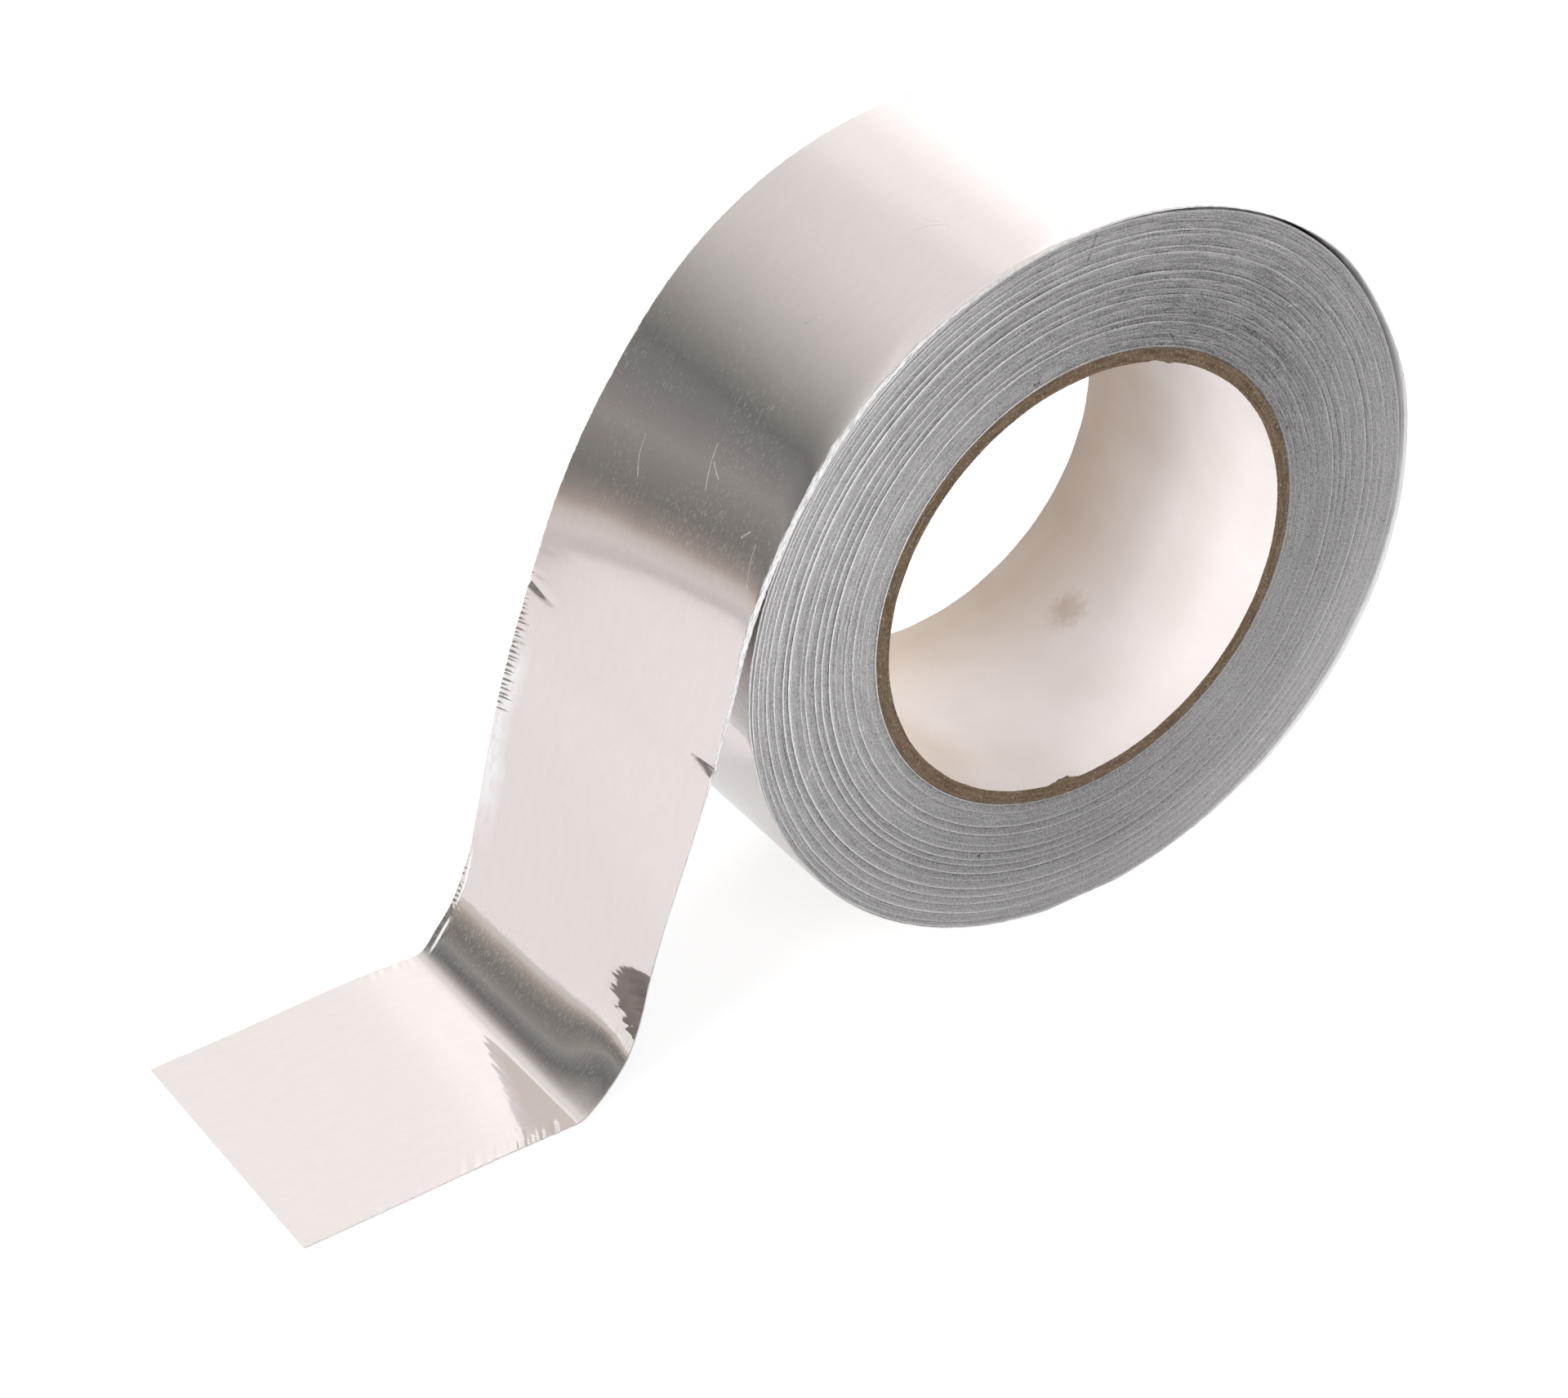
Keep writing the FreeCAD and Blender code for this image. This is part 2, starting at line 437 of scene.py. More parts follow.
# Marks on the near side face: radius and angle of each end, half width, and how much paler or
# darker they are.
SIDE_MARKS = ((63.3, 89.3, 58.3, 91.2, 0.22, -0.16), (41.9, 103.2, 41.8, 105.2, 0.5, -0.2),
              (50.4, -115.2, 50.2, -114.6, 0.35, -0.25), (54.3, -165.9, 57.0, -163.5, 0.12, 0.3),
              (47.1, -163.0, 48.4, -161.2, 0.12, 0.25), (53.2, 43.6, 54.4, 41.5, 0.2, 0.22),
              (61.9, 27.8, 62.1, 27.1, 0.3, -0.15), (44.8, 11.0, 45.0, 10.5, 0.25, -0.2),
              (42.6, -1.2, 42.9, -0.5, 0.3, -0.12), (60.0, -52.8, 60.8, -51.2, 0.2, 0.2),
              (42.0, 64.5, 42.5, 55.5, 0.18, 0.16), (43.2, 69.6, 41.2, 66.8, 0.14, -0.2),
              (60.5, 149.5, 60.2, 152.5, 0.3, -0.12), (58.6, 158.0, 58.4, 160.5, 0.25, -0.14),
              (43.6, 128.0, 43.4, 130.0, 0.3, -0.12))
# Broad painted shade and sheen on a side face: the way they lie from the axis, the radii where they
# start and are full, and how much paler or darker they are.
PAINTED_SIDE_SHADE = (((0.94, 0, 0.34), 59, 47, -0.085), ((0.17, 0, -0.985), 54, 58, 0.08),
               ((-0.42, 0, 0.91), 54, 58, 0.045))


def edges_material():
    """Slit edges of the turns: dull grey metal and adhesive, with a fine line for each turn, and
    painted sheen, highlights and shade.
    """
    material, n, shader = new_material("foil_slit_edges", (0.4, 0.4, 0.4))
    place, outwards, radius, wound = round_the_axis(n)
    # painted highlight and painted shade, given for each point by the meshes
    painted_light = n.add("ShaderNodeAttribute", attribute_name="painted_light").outputs["Fac"]
    turns = n.noise(wound, (3.0, 2.6, 3.0), 4.0, 0.7)
    gaps = n.noise(wound, (2.0, 4.2, 2.0), 3.0, 0.8)
    fine = n.noise(wound, (14.0, 6.0, 14.0), 3.0, 0.75)
    grain = n.noise(place, 3000.0, 2.0, 0.7)
    broad = n.noise(place, 60.0, 3.0)
    dirt = n.noise(place, 420.0, 4.0, 0.6)
    left = n.vector("DOT_PRODUCT", outwards, (-0.966, 0, 0.259))
    above = n.vector("DOT_PRODUCT", outwards, (-0.35, 0, 0.94))
    lines = n.plus(n.range(turns, 0.3, 0.7, -0.08, 0.08), n.range(fine, 0.3, 0.7, -0.15, 0.15))
    lines = n.plus(lines, n.plus(n.range(gaps, 0.42, 0.35, 0.0, -0.2),
                                 n.range(gaps, 0.62, 0.68, 0.0, 0.16)))
    shade = n.plus(n.times(lines, n.range(above, -0.7, 0.3, 0.4, 1.0)),
                   n.range(grain, 0.3, 0.7, -0.15, 0.15))
    # painted sheen: paler where the face lies towards the left of the roll and, less so, towards
    # the right
    shade = n.plus(shade, n.plus(n.times(left, 0.04), n.times(left, left, 0.13)))
    # broad painted shade and sheen, by direction from the axis and by radius
    for way, start, full, change in PAINTED_SIDE_SHADE:
        facing = n.range(n.vector("DOT_PRODUCT", outwards, way), 0.25, 0.85, 0.0, change)
        shade = n.plus(shade, n.times(facing, n.range(radius, start, full)))
    # broad tone and dirt, then the painted highlight on the rims and the outer turn's cut edges,
    # with painted shade where each group starts
    shade = n.plus(shade, n.range(broad, 0.3, 0.7, -0.02, 0.02),
                   n.range(dirt, 0.66, 0.76, 0.0, -0.12),
                   n.times(painted_light, n.range(fine, 0.2, 0.7, 0.30, 0.50)))
    x, y, z = n.split(n.vector("MULTIPLY", place, (PER_METRE, PER_METRE, PER_METRE)))
    face = n.join(x, z)
    marks = []
    for radius_0, angle_0, radius_1, angle_1, width, change in SIDE_MARKS:
        ends = (radius_0 * heading_step(angle_0), radius_1 * heading_step(angle_1))
        marks.append(n.times(stroke(n, face, *ends, width, 0.1), change))
    shade = n.plus(shade, n.times(n.plus(*marks), n.math("LESS_THAN", y, 0.0)), 0.335)
    shade = n.range(shade, 0.03, 0.95, 0.03, 0.95)
    colour = n.colour(shade, n.times(shade, 0.98), n.times(shade, 0.985))
    n.put(shader, "Base Color", colour)
    n.put(shader, "Roughness", n.range(fine, 0.3, 0.7, 0.45, 0.6))
    shader.inputs["Metallic"].default_value = 0.35
    n.put(shader, "Normal", n.bump(grain, 0.00012, 0.8, n.bump(fine, 0.0001, 0.5)))
    return material


def kraft_material():
    """Cut end of the wound cardboard tube: brown layers with fibres."""
    material, n, shader = new_material("cardboard_edge", (0.2, 0.13, 0.08))
    place, _, _, wound = round_the_axis(n)
    layers = n.noise(wound, (8.0, 2.2, 8.0), 3.0)
    fibres = n.noise(wound, (60.0, 5.0, 60.0), 4.0, 0.7)
    specks = n.noise(place, 2600.0, 3.0)
    shade = n.range(n.plus(n.times(layers, 0.5), n.times(fibres, 0.5)), 0.33, 0.67)
    brown = n.mix(shade, (0.10, 0.065, 0.04), (0.35, 0.25, 0.165))
    colour = n.mix(n.range(specks, 0.58, 0.7, 0.0, 0.7), brown, (0.55, 0.46, 0.36))
    n.put(shader, "Base Color", colour)
    shader.inputs["Roughness"].default_value = 0.9
    shader.inputs["Specular IOR Level"].default_value = 0.2
    n.put(shader, "Normal", n.bump(fibres, 0.0003, 0.6, n.bump(specks, 0.0002, 0.5)))
    return material


SMUDGE = (0.0202, 0.0069, -0.0323)      # metres: a brown smudge low in the bore


def lining_material():
    """Pale paper lining of the bore, a little mottled, with a brown smudge, and painted shade:
    darker low on the left and browner far inside.
    """
    material, n, shader = new_material("cardboard_lining", (0.8, 0.75, 0.7))
    place = n.add("ShaderNodeTexCoord").outputs["Object"]      # metres
    x, y, z = n.split(place)
    clouds = n.noise(place, 55.0, 4.0)
    fine = n.noise(place, 900.0, 3.0)
    mottle = n.range(clouds, 0.35, 0.68)
    pale = n.mix(mottle, (0.92, 0.865, 0.845), (0.965, 0.935, 0.93))
    # painted shade: the far part of the bore turns to this darker brown
    tan = n.mix(mottle, (0.70, 0.585, 0.505), (0.79, 0.69, 0.61))
    paper = n.mix(n.range(y, -0.003, 0.020), pale, tan)
    # painted shade, darker low on the left of the bore and broken up by the mottle
    low_left = n.times(n.range(z, 0.010, -0.015), n.range(x, 0.004, -0.022))
    shade_low_left = n.times(low_left, n.range(clouds, 0.3, 0.6, 0.85, 0.5))
    paper = n.mix(shade_low_left, paper, (0.75, 0.64, 0.56))
    away = n.vector("LENGTH", n.vector("SUBTRACT", place, SMUDGE))
    away = n.plus(away, n.range(fine, 0.3, 0.7, -0.0008, 0.0008))
    smudge = n.times(n.range(away, 0.0052, 0.0002, smooth=True), 0.46)
    n.put(shader, "Base Color", n.mix(smudge, paper, (0.42, 0.30, 0.21)))
    shader.inputs["Roughness"].default_value = 0.75
    shader.inputs["Specular IOR Level"].default_value = 0.3
    n.put(shader, "Normal", n.bump(fine, 0.0001, 0.3))
    return material


FOIL = foil_material()
ADHESIVE = adhesive_material()
EDGES = edges_material()
KRAFT = kraft_material()
LINING = lining_material()


# ---- the wound turns
def ring_sections(angles, radius, y):
    """Loops round the roll's axis, one for each angle."""
    a = np.radians(angles)[:, None]
    return np.stack([radius * np.cos(a), y, radius * np.sin(a)], axis=-1)


def ring_uv(angles, radius, y):
    """Millimetres round the roll and across it."""
    return np.stack([np.radians(angles)[:, None] * radius, y], axis=-1)


def packed_rim(angle):
    """Radius of the turns under the outermost one, slack where the free end leaves them."""
    slack, swell = 0.75 * angle_bump(angle, 140, 48), 0.5 * bump(angle, 50, 34)
    return rested(UNDER_RADIUS - 0.07 - slack + swell, angle, clearance=0.35)


# Outer radius of each group of turns, and how far its rim stands proud of the next group.
GROUPS = ((40.95, 0.22), (42.3, 0.06), (43.7, 0.05), (45.0, 0.22), (46.4, 0.18), (47.4, 0.05),
          (48.3, 0.08), (49.6, 0.32), (50.9, 0.22), (52.2, 0.20), (53.7, 0.28), (54.9, 0.10),
          (56.7, 0.36), (58.0, 0.26), (59.6, 0.18), (60.9, 0.24), (61.6, 0.08), (62.4, 0.16))
GROUP_WANDER = ((1, 0.16), (3, 0.06), (37, 0.012))     # waves in a turn, and how far each moves it
RIM_BREADTH = 0.14            # of the drop at a group's rim


def side_profile(angle, rim, side):
    """(radius, depth below the cut plane, painted light) along a side face, for each angle.

    The turns of a group shift together: its face rises slowly outwards and drops at its rim. The
    painted light is a painted highlight on each rim and painted shade where the next group starts.
    """
    dice = np.random.default_rng(30 + side)
    turn = np.radians(angle)[:, None]
    strength = (0.5 + 0.5 * angle_bump(angle, 175, 140))[:, None]
    edges, heights = [np.full_like(turn, TURNS_BORE)], []
    for edge, height in GROUPS:
        for waves, size in GROUP_WANDER:
            edge = edge + size * np.sin(waves * turn + dice.uniform(0, 6.28))
        edges.append(edge)
        uneven = 0.8 + 0.2 * np.sin(2 * turn + dice.uniform(0, 6.28))
        heights.append(height * strength * uneven)
    edges.append(rim[:, None])
    heights = [0.3 * heights[0]] + heights
    radius, depth, painted_light = [], [], []
    along = np.array([0.0, 0.1, 0.3, 0.65, 0.92, 1.0])
    for k, start in enumerate(edges[:-1]):
        end = edges[k + 1] - 0.05
        begin = start + (0.03 if k else 0)      # a fine groove is left between two groups
        last = (end - begin) - RIM_BREADTH
        radius.append(begin + np.concatenate([last * along[:-1], last + RIM_BREADTH], axis=1))
        depth.append(0.5 * heights[k] * (1 - along ** 0.6))
        proud = heights[k + 1] if k + 1 < len(heights) else 0.3 * strength
        # painted shade where a group starts, and a painted highlight at its rim
        low = -heights[k] * np.array([1.0, 0.5, 0.2, 0.05, 0, 0])
        painted_light.append(2.8 * (low + proud * np.array([0, 0, 0, 0, 0.3, 2.0])))
    return [np.concatenate(columns, axis=1) for columns in (radius, depth, painted_light)]


def wound_turns():
    """The turns below the outermost one, as one ring: near side, rim, far side and bore."""
    angles = np.arange(0, 360, TURN_STEP)
    rim = packed_rim(angles)
    near_r, near_depth, near_painted_light = side_profile(angles, rim, 0)
    far_r, far_depth, far_painted_light = side_profile(angles, rim, 1)
    near_y = -(HALF_WIDTH - SIDE_INSET) + near_depth
    far_y = (HALF_WIDTH - SIDE_INSET) - far_depth
    across = np.linspace(0, 1, 6)[1:-1]
    rim_r = near_r[:, -1:] + (far_r[:, -1:] - near_r[:, -1:]) * across
    rim_y = near_y[:, -1:] + (far_y[:, -1:] - near_y[:, -1:]) * across
    bore_r = np.full_like(rim_r, TURNS_BORE)
    bore_y = far_y[:, :1] + (near_y[:, :1] - far_y[:, :1]) * across
    dull = 0 * rim_r
    r = np.concatenate([near_r, rim_r, far_r[:, ::-1], bore_r], axis=1)
    y = np.concatenate([near_y, rim_y, far_y[:, ::-1], bore_y], axis=1)
    painted_light = np.concatenate([near_painted_light, dull, far_painted_light[:, ::-1], dull], axis=1)
    return loft("wound_turns", ring_sections(angles, r, y), True, ring_uv(angles, r, y),
                [EDGES], np.zeros(r.shape[1], int), {"painted_light": painted_light})


# ---- the course of the free end
# Heading of the tape through the two creases, by millimetres below the lift-off. The upper crease
# starts gradually and the lower one is nearly sharp, between the CAD's span and its flat end.
BEND = ((50, 248.8), (66, 252.0), (78, 253.8), (84, 254.2), (88, 253.0), (91, 250.8), (93, 249.0),
        (95.5, 246.2), (97.5, 243.9), (99.7, 241.4), (101.7, 239.2), (104.5, 236.8), (107, 233.6),
        (109, 229.2), (110.6, 225), (111.6, 221), (112.6, 213), (113.4, 196), (114, 182),
        (114.8, 178.5), (122, 178.5), (128, 179.9), (136, 180.7), (152, 180.7), (158, 180),
        (164, 180))
# How far each edge stands off the CAD's middle line, by millimetres below the lift-off.
FAR_STAND = ((-30, 0), (-15, 0), (0, 0.12), (14, 0.72), (28, 1.2), (45, 1.4), (66, 1.3), (80, 0.8),
             (88, 0.52), (94, 0.22), (99, 0.0), (106, -0.05), (114, 0), (124, 0.25), (138, 0.12),
             (152, 0))
NEAR_STAND = ((-30, 0), (-15, 0), (-4, 0.05), (8, -0.05), (18, -0.4), (28, -1.15), (36, -2.05),
              (44, -2.65), (54, -2.75), (66, -2.35), (80, -1.2), (86, -0.87), (90, -0.7),
              (98, -0.5), (106, -0.25), (114, 0), (120, 0))
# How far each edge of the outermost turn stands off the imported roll, by degrees round it.
NEAR_LOOSE = ((143, 0), (135, 0.02), (118, 0.15), (100, 0.25), (88, 0.4), (75, 0.65), (60, 0.7),
              (46, 0.8), (40, 0.9), (31, 0.6), (23, 0.5), (15, 0.8), (0, 0.65), (-15, 0.8),
              (-35, 0.65), (-50, 0.35), (-60, 0.0), (-75, -0.15), (-90, 0), (-160, 0.0),
              (-178, 0.2), (-196, 0.15), (-208, -0.2), (-217, -0.45), (-240, -0.6))
FAR_LOOSE = ((143, 0), (135, 0), (110, 0.0), (80, 0.05), (60, 0.2), (40, 0.7), (10, 1.3),
             (-20, 1.35), (-45, 0.6), (-60, 0), (-75, -0.15), (-90, 0), (-160, 0.0),
             (-178, 0.15), (-217, -0.25), (-240, -0.4))
COURSE_STEPS = 8000           # of the free end's length, each about 0.02 mm
ROUNDING = 20                 # steps over which the corners of BEND are rounded


class FreeEnd:
    """Foil side of the free end, from where it leaves the roll (0) to its cut end (length)."""

    def __init__(self):
        knee = LIFT_OFF + 90 + LEAD_TURN + SPAN_TURN
        ramp = knee - KNEE_TURN
        ankle = 180 - ramp
        start = OUTER_RADIUS * heading_step(LIFT_OFF)
        lead_length = (LEAD_RADIUS + THICKNESS) * math.radians(LEAD_TURN)
        knee_length = KNEE_RADIUS * math.radians(KNEE_TURN)
        ankle_length = ANKLE_RADIUS * math.radians(-ankle)
        arcs = ((LIFT_OFF + 90, LEAD_TURN, lead_length), (knee, -KNEE_TURN, knee_length),
                (ramp, 0, RAMP_LENGTH), (ramp, ankle, ankle_length))
        drop = start[1] + (TABLE_DEPTH - THICKNESS) + sum(self.arc(*arc)[1] for arc in arcs)
        span = drop / -self.arc(knee - SPAN_TURN, SPAN_TURN, 1.0)[1]
        turns = (LEAD_TURN, SPAN_TURN, -KNEE_TURN, 0, ankle, 0)
        lengths = (lead_length, span, knee_length, RAMP_LENGTH, ankle_length, FLAT_LENGTH)
        self.length = sum(lengths)
        self.at = np.linspace(0, self.length, COURSE_STEPS + 1)
        ends = np.cumsum([0, *lengths])
        heading = np.interp(self.at, ends, LIFT_OFF + 90 + np.cumsum([0, *turns]))
        bend = self.rounded(np.interp(self.at, *np.array(BEND).T))
        self.heading = np.where(self.at > BEND[0][0], bend, heading)
        middle = np.radians((self.heading[1:] + self.heading[:-1]) / 2)
        step = self.at[1]
        self.x = start[0] + np.concatenate([[0], np.cumsum(np.cos(middle) * step)])
        self.z = start[1] + np.concatenate([[0], np.cumsum(np.sin(middle) * step)])
        # what BEND changes in height is taken up along the span, so the flat end is on the table
        low = -(TABLE_DEPTH - THICKNESS) - self.z[-1]
        self.z += low * np.clip((self.at - 30) / 60, 0, 1)

    @staticmethod
    def arc(heading, turn, length):
        """Step made by an arc of this length that turns this far."""
        half = math.radians(abs(turn) / 2)
        chord = length * math.sin(half) / half if turn else length
        return chord * heading_step(heading + turn / 2)

    @staticmethod
    def rounded(heading):
        """The same course with its corners rounded over."""
        reach = 3 * ROUNDING
        weights = np.exp(-0.5 * (np.arange(-reach, reach + 1) / ROUNDING) ** 2)
        return np.convolve(np.pad(heading, reach, mode="edge"), weights / weights.sum(),
                           mode="valid")

    def place(self, s):
        return [np.interp(s, self.at, course) for course in (self.x, self.z, self.heading)]


def across_stops():
    """Places across the tape, from one edge to the other, close together near each."""
    near = [0, .12, .25, .4, .55, .75, 1.0, 1.3, 1.6, 2.0, 2.4, 2.9, 3.5, 4.2, 5.1, 6.2, 7.7, 9.6,
            12, 15, 18.5, 22]
    return np.array([-HALF_WIDTH + d for d in near] + [0] + [HALF_WIDTH - d for d in near[::-1]])


def tape_middle(free, rows, y):
    """Foil side of the smooth tape: x and z for each row and each y. Rows are millimetres from
    the lift-off, positive along the free end and negative round the roll."""
    s = rows[:, None]
    far_share = (y[None, :] + HALF_WIDTH) / (2 * HALF_WIDTH)

    def between(at, near_knots, far_knots):
        return spline(at, near_knots) * (1 - far_share) + spline(at, far_knots) * far_share

    stand = between(s, NEAR_STAND, FAR_STAND)
    x, z, heading = free.place(np.clip(s, 0, None))
    out = np.radians(heading - 90)
    tail_x, tail_z = x + stand * np.cos(out), z + stand * np.sin(out)
    angle = LIFT_OFF + np.degrees(s / OUTER_RADIUS)
    radius = rested(OUTER_RADIUS + between(angle, NEAR_LOOSE, FAR_LOOSE) + stand, angle)
    turn = np.radians(angle)
    return (np.where(s > 0, tail_x, radius * np.cos(turn)),
            np.where(s > 0, tail_z, radius * np.sin(turn)))


# ---- creases and worn edges
# Far edge of the span: how far in its crinkles reach, and how high the tight and the wide ones
# are. All the tables below go by millimetres below the lift-off.
CRINKLE_REACH = ((30, 0.3), (44, 0.6), (50, 1.6), (58, 2.3), (63, 3.0), (67, 3.2), (74, 2.6),
                 (80, 2.0), (90, 1.5), (120, 1.0))
TIGHT_CRINKLES = ((30, 0), (45, 0), (47, 0.04), (51, 0.065), (57, 0.08), (62, 0.085),
                  (65.5, 0.075), (67, 0.01), (69, 0), (120, 0))
WIDE_CRINKLES = ((30, 0), (62, 0), (68, 0.02), (72, 0.05), (80, 0.02), (86, 0), (98, 0), (120, 0))
# How far the near edge curls back beside the creases.
NEAR_CURL = ((84, 0), (87.5, 0.05), (91, 0.33), (96, 0.80), (100, 1.13), (102.5, 1.15),
             (106, 0.80), (110, 0.34), (113, 0.06), (114.5, 0))
# Slanting folds above the upper crease: where they start, lean, height and breadth.
SLANTING_FOLDS = ((88.0, 0.26, 0.05, 1.8), (92.5, 0.20, -0.045, 1.5), (96.0, 0.12, 0.03, 1.1))
# Strength of the fine waves that make the mirror images beside the creases ragged.
FINE_WAVES = ((0, 0), (70, 0), (84, 0.6), (92, 1), (100, 0.7), (108, 0.3), (114, 2.2), (124, 2.4),
              (134, 0.5), (150, 0), (170, 0))
# Near edge of the outermost turn: how far it is pressed down at its lip and over a broader
# strip, and how far it flares out on the roll's right side.
LIP_DEPTH = ((-440, 0.04), (-402, 0.04), (-120, 0.05), (-75, 0.10), (-40, 0.16), (0, 0.24),
             (18, 0.28), (30, 0.2), (42, 0.08), (55, 0.03), (90, 0.02), (163, 0))
EDGE_ROUNDING = ((-440, 0.02), (-402, 0.03), (-130, 0.04), (-70, 0.16), (-20, 0.2), (10, 0.14),
                 (30, 0.06), (50, 0), (90, 0), (163, 0))
EDGE_FLARE = ((-300, 0), (-250, 0), (-235, 0.3), (-190, 0.75), (-150, 0.75), (-120, 0.5),
              (-104, 0.4), (-90, 0.15), (-75, 0), (0, 0))
# Rows of points along the free end: start, end and spacing, finest at the tight crinkles.
FREE_ROWS = ((-40, 41, 0.5), (41, 68, 0.14), (68, 86, 0.3), (86, 128, 0.3))


def crumple(s, y):
    """How far each place of the free end stands off the smooth sheet, towards the foil side."""
    far, near = HALF_WIDTH - y, HALF_WIDTH + y
    high = 0 * s * y
    # short crosswise crinkles along the far edge of the span, steep at first, then wide and faint
    skew = s + 0.25 * far
    reach = spline(s, CRINKLE_REACH) * (1 + 0.55 * ripple(skew, 1.9, 5))
    high += (1.9 * spline(s, TIGHT_CRINKLES) * sawtooth(skew, 0.85, 3)
             * fade(far, np.maximum(reach, 0.25), 3))
    high += (spline(s, WIDE_CRINKLES) * ripple(skew, 2.6, 4) * fade(far, 3.2)
             - 0.14 * fold(skew - 73.8, 0.35, far, 1.9))
    # two folded nicks, one at each edge
    high -= 0.34 * fold(s - 43.0 - 0.12 * far, 0.6, far, 3.8)
    high -= 0.36 * fold(s - 49.2 + 0.02 * near, 0.55, near, 3.4)
    high += 0.12 * fold(s - 50.9 + 0.02 * near, 0.6, near, 2.0)
    # near edge: curled back beside the creases, with crinkles there and on the flat end
    high -= spline(s, NEAR_CURL) * fade(near, 8.0)
    high += 0.018 * bump(s, 94, 9) * ripple(s - 0.5 * near, 1.6, 6) * fade(near - 5, 5.0)
    ragged_reach = 2.2 + 1.2 * ripple(s, 1.7, 18)
    high += 0.07 * bump(s, 121.5, 5.5) * ripple(s + 0.5 * near, 1.1, 7) * fade(near, ragged_reach)
    high -= 0.22 * fold(s - 118.0 + 0.5 * near, 0.35, near - 1.2, 1.3)
    high += 0.05 * bump(s, 131, 6) * ripple(s + 0.6 * near, 2.0, 8) * fade(near, 2.6)
    high += 0.025 * bump(s, 148, 14) * ripple(s + 0.5 * near, 2.2, 9) * fade(near, 2.0)
    high += 0.03 * bump(s, 118, 10) * ripple(s - 0.3 * far, 2.4, 10) * fade(far, 1.6)
    for start, lean, height, width in SLANTING_FOLDS:
        high += height * fade(s - start - lean * far, width) * fade(far, 20)
    flat_patch = fade(y - 3 + 2.2 * (s - 114), 5)
    waves = spline(s, FINE_WAVES) * np.where(s > 112, flat_patch, np.clip((far - 2) / 3, 0, 1))
    high += (0.0026 * waves * ripple(s + 0.25 * y, 1.4, 16)
             * (1 + 0.8 * ripple(y - 0.4 * s, 2.0, 17)))
    # the far edge is curled up by the creases, along two short stretches
    curl = 0.45 * bump(s, 98, 5.5) + 1.2 * bump(s, 108.3, 4.8)
    high += 0.30 * curl * lip(far, 1.4, 1.3) - 0.09 * curl * fade(far - 1.45, 0.35)
    return high


def edge_lip(s, y):
    """How far the near edge is pressed and rubbed over the side of the roll, most where the free
    end leaves it."""
    near = HALF_WIDTH + y
    width = 0.95 + 0.2 * ripple(s, 2.6, 12)
    depth = spline(s, LIP_DEPTH) * (1 + 0.3 * ripple(s, 1.5, 13))
    return (spline(s, EDGE_FLARE) * lip(near, 1.8, 1.6) - depth * lip(near, width, 1.6)
            - spline(s, EDGE_ROUNDING) * lip(near, 4.2, 2))


def outer_turn():
    """The outermost turn and the free end, one thin sheet with its foil side out."""
    free = FreeEnd()
    lap = 2 * math.pi * OUTER_RADIUS
    y = across_stops()
    rows = steps((-lap - OVERLAP, -lap * 0.3, 1.5), (-lap * 0.3, -40, 0.9), *FREE_ROWS,
                 (128, free.length, 0.6))
    x, z = tape_middle(free, rows, y)
    s, across = rows[:, None], y[None, :]
    # outward direction of the foil side, from the smooth surface itself
    flat = 0 * x
    along = np.stack([np.gradient(x, axis=0), flat, np.gradient(z, axis=0)], axis=-1)
    over = [np.gradient(x, axis=1), np.gradient(y)[None, :] + flat, np.gradient(z, axis=1)]
    out = np.cross(np.stack(over, axis=-1), along)
    out /= np.linalg.norm(out, axis=-1, keepdims=True)
    ends = np.clip((free.length - rows) / 2, 0, 1)[:, None]
    high = (crumple(s, across) + edge_lip(s, across)) * ends
    ragged = 0.05 * ripple(rows, 1.6, 14) * (rows < 60) + 0.02 * ripple(rows, 2.2, 15)
    side = (lip(HALF_WIDTH - np.abs(y), 1.0, 1) * np.sign(y))[None, :]
    wide = across + side * (ragged[:, None] - 0.05)
    surface = np.stack([x, wide, z], axis=-1) + out * high[..., None]
    under = surface - out * THICKNESS
    under[..., 2] = np.maximum(under[..., 2], -TABLE_DEPTH)
    surface[..., 2] = np.maximum(surface[..., 2], -TABLE_DEPTH + 0.1)
    sections = np.concatenate([surface, under[:, ::-1]], axis=1)
    tape_uv = np.stack(np.broadcast_arrays(s, across), axis=-1)
    uv = np.concatenate([tape_uv, tape_uv[:, ::-1]], axis=1)
    foil, adhesive = np.zeros(len(y) - 1, int), np.ones(len(y) - 1, int)
    slots = np.concatenate([foil, [2], adhesive, [2]])
    # its cut edges get the full painted highlight of the slit edges
    return loft("outer_turn", sections, False, uv, [FOIL, ADHESIVE, EDGES], slots,
                {"painted_light": np.full(uv.shape[:2], 1.0)})


